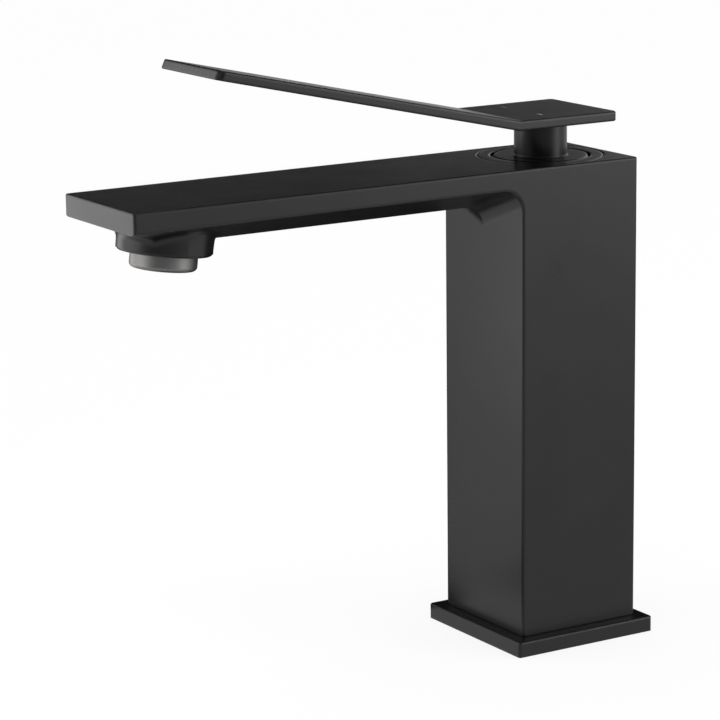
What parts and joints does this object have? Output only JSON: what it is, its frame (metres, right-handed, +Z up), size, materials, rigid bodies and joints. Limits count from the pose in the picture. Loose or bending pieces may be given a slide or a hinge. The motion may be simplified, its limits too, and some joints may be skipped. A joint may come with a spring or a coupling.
{
  "type": "single-lever basin mixer faucet",
  "caption": "Single-lever basin mixer with a square column, flat keeled spout, tilted aerator boss and a bent paddle lever that lifts for flow and turns for temperature.",
  "frame": {"origin": "centre of the square base, on the deck that the faucet stands on", "axes": "+Z up the column; -Y forward, the way the spout points; +X to the user's right"},
  "size_m": [0.054, 0.1894, 0.2005],
  "materials": {
    "matte_black": "fine matte black powder coat on metal",
    "dark_chrome": "brushed dark chrome plate",
    "brass": "machined brass",
    "steel": "turned stainless steel",
    "ceramic": "lapped white ceramic",
    "grey_plastic": "moulded grey acetal",
    "white_plastic": "moulded white acetal",
    "red_plastic": "moulded red acetal",
    "black_rubber": "moulded black rubber"
  },
  "bodies": {
    "body": {"faucet_body": "matte_black", "base_flange": "matte_black", "trim_ring": "matte_black", "aerator_shell": "dark_chrome", "aerator_insert": "white_plastic", "aerator_washer": "black_rubber", "base_seal": "black_rubber", "cartridge_nut": "brass", "cartridge_housing": "grey_plastic", "housing_o_ring": "black_rubber", "cartridge_base": "grey_plastic", "disc_seals": "black_rubber", "inlet_seals": "black_rubber", "fixed_disc": "ceramic"},
    "turret": {"cartridge_turret": "white_plastic", "temperature_limit_ring": "red_plastic", "lever_pivot_pin": "steel"},
    "lever": {"lever_plate": "matte_black", "lever_hub": "matte_black", "cartridge_stem": "brass", "grub_screw": "steel", "screw_cap": "matte_black"},
    "ceramic_slide": {"disc_carrier": "white_plastic", "moving_disc": "ceramic"}
  },
  "joints": [
    {"name": "temperature_turn", "type": "hinge", "parent": "body", "child": "turret", "pos_m": [0, 0, 0.149], "axis": [0, 0, 1], "range_deg": [-50, 50]},
    {"name": "flow_tilt", "type": "hinge", "parent": "turret", "child": "lever", "pos_m": [0, 0, 0.149], "axis": [-1, 0, 0], "range_deg": [0, 22]},
    {"name": "disc_slide", "type": "slide", "parent": "turret", "child": "ceramic_slide", "axis": [0, -1, 0], "range_m": [0, 0.0055]}
  ],
  "couplings": [
    {"joint": "disc_slide", "follows": "flow_tilt", "m_per_rad": 0.014205}
  ]
}
